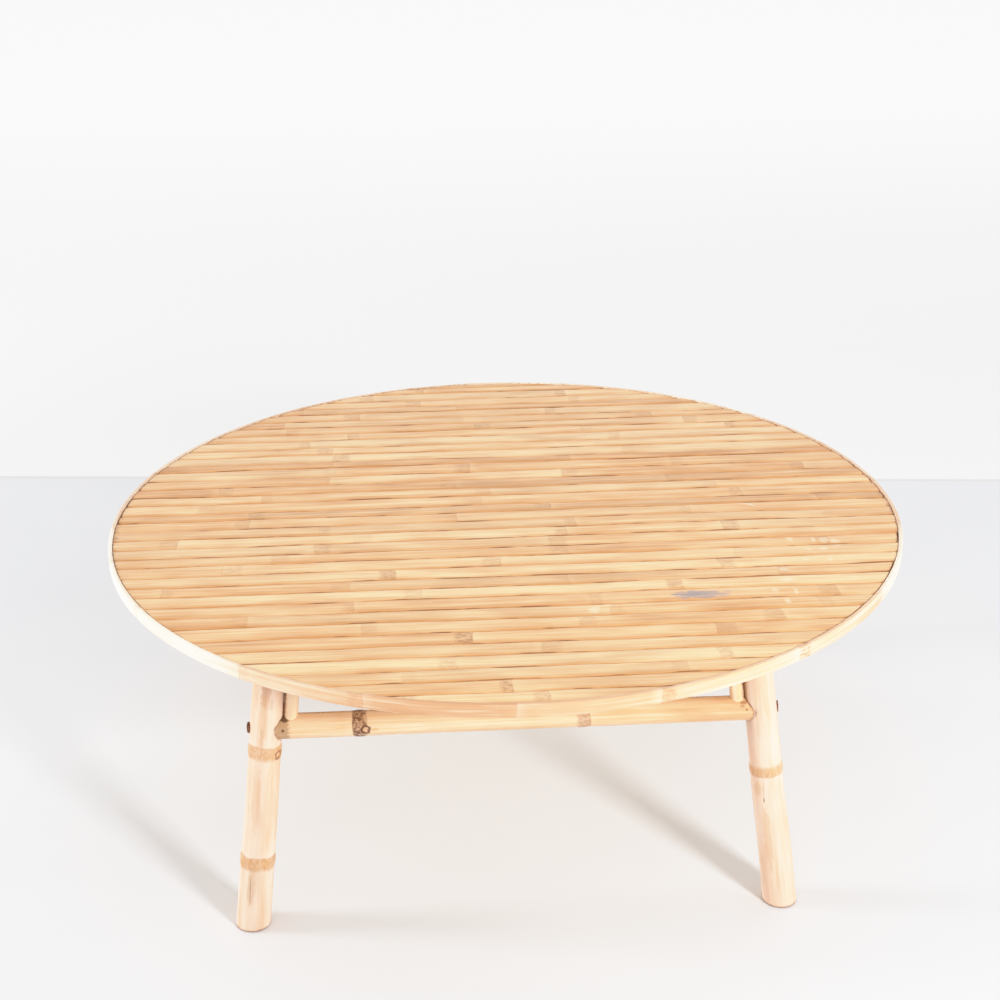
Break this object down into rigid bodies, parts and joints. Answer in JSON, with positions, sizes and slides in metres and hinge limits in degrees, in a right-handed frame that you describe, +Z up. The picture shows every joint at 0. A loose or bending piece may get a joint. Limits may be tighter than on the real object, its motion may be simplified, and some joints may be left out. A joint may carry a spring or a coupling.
{
  "type": "folding low table",
  "caption": "Round low table with a top of split bamboo slats in a bent rim band, on splayed bamboo legs that fold under the top about the ends of two crossbars.",
  "frame": {"origin": "on the floor under the centre of the round top, with the legs open", "axes": "+Z up; the slats and the crossbars run along X; the front of the table, as in the picture, faces -Y"},
  "size_m": [1, 0.9999, 0.39],
  "materials": {
    "slat_bamboo": "satin",
    "band_bamboo": "satin",
    "leg_bamboo": "satin",
    "crossbar_bamboo": "satin",
    "pin_wood": "matte",
    "plywood": "matte",
    "batten_wood": "matte",
    "screw_steel": "satin"
  },
  "bodies": {
    "table_top": {"slat_01": "slat_bamboo", "slat_02": "slat_bamboo", "slat_03": "slat_bamboo", "slat_04": "slat_bamboo", "slat_05": "slat_bamboo", "slat_06": "slat_bamboo", "slat_07": "slat_bamboo", "slat_08": "slat_bamboo", "slat_09": "slat_bamboo", "slat_10": "slat_bamboo", "slat_11": "slat_bamboo", "slat_12": "slat_bamboo", "slat_13": "slat_bamboo", "slat_14": "slat_bamboo", "slat_15": "slat_bamboo", "slat_16": "slat_bamboo", "slat_17": "slat_bamboo", "slat_18": "slat_bamboo", "slat_19": "slat_bamboo", "slat_20": "slat_bamboo", "slat_21": "slat_bamboo", "slat_22": "slat_bamboo", "slat_23": "slat_bamboo", "slat_24": "slat_bamboo", "slat_25": "slat_bamboo", "slat_26": "slat_bamboo", "slat_27": "slat_bamboo", "slat_28": "slat_bamboo", "slat_29": "slat_bamboo", "slat_30": "slat_bamboo", "slat_31": "slat_bamboo", "slat_32": "slat_bamboo", "slat_33": "slat_bamboo", "slat_34": "slat_bamboo", "slat_35": "slat_bamboo", "slat_36": "slat_bamboo", "slat_37": "slat_bamboo", "rim_band": "band_bamboo", "backing_disc": "plywood", "front_stop_batten": "batten_wood", "back_stop_batten": "batten_wood", "left_cross_batten": "batten_wood", "right_cross_batten": "batten_wood", "batten_screws": "screw_steel", "hanger_screws": "screw_steel", "front_crossbar": "crossbar_bamboo", "back_crossbar": "crossbar_bamboo", "front_left_hanger_post": "crossbar_bamboo", "front_right_hanger_post": "crossbar_bamboo", "back_left_hanger_post": "crossbar_bamboo", "back_right_hanger_post": "crossbar_bamboo", "front_left_pivot_pin": "pin_wood", "front_right_pivot_pin": "pin_wood", "back_left_pivot_pin": "pin_wood", "back_right_pivot_pin": "pin_wood"},
    "front_left_leg": {"front_left_leg": "leg_bamboo"},
    "front_right_leg": {"front_right_leg": "leg_bamboo"},
    "back_left_leg": {"back_left_leg": "leg_bamboo"},
    "back_right_leg": {"back_right_leg": "leg_bamboo"}
  },
  "joints": [
    {"name": "front_left_leg_fold", "type": "hinge", "parent": "table_top", "child": "front_left_leg", "pos_m": [-0.295, -0.302, 0.26], "axis": [1, 0, 0], "range_deg": [0, 114]},
    {"name": "front_right_leg_fold", "type": "hinge", "parent": "table_top", "child": "front_right_leg", "pos_m": [0.281, -0.302, 0.26], "axis": [1, 0, 0], "range_deg": [0, 114]},
    {"name": "back_left_leg_fold", "type": "hinge", "parent": "table_top", "child": "back_left_leg", "pos_m": [-0.295, 0.302, 0.26], "axis": [-1, 0, 0], "range_deg": [0, 114]},
    {"name": "back_right_leg_fold", "type": "hinge", "parent": "table_top", "child": "back_right_leg", "pos_m": [0.281, 0.302, 0.26], "axis": [-1, 0, 0], "range_deg": [0, 114]}
  ]
}
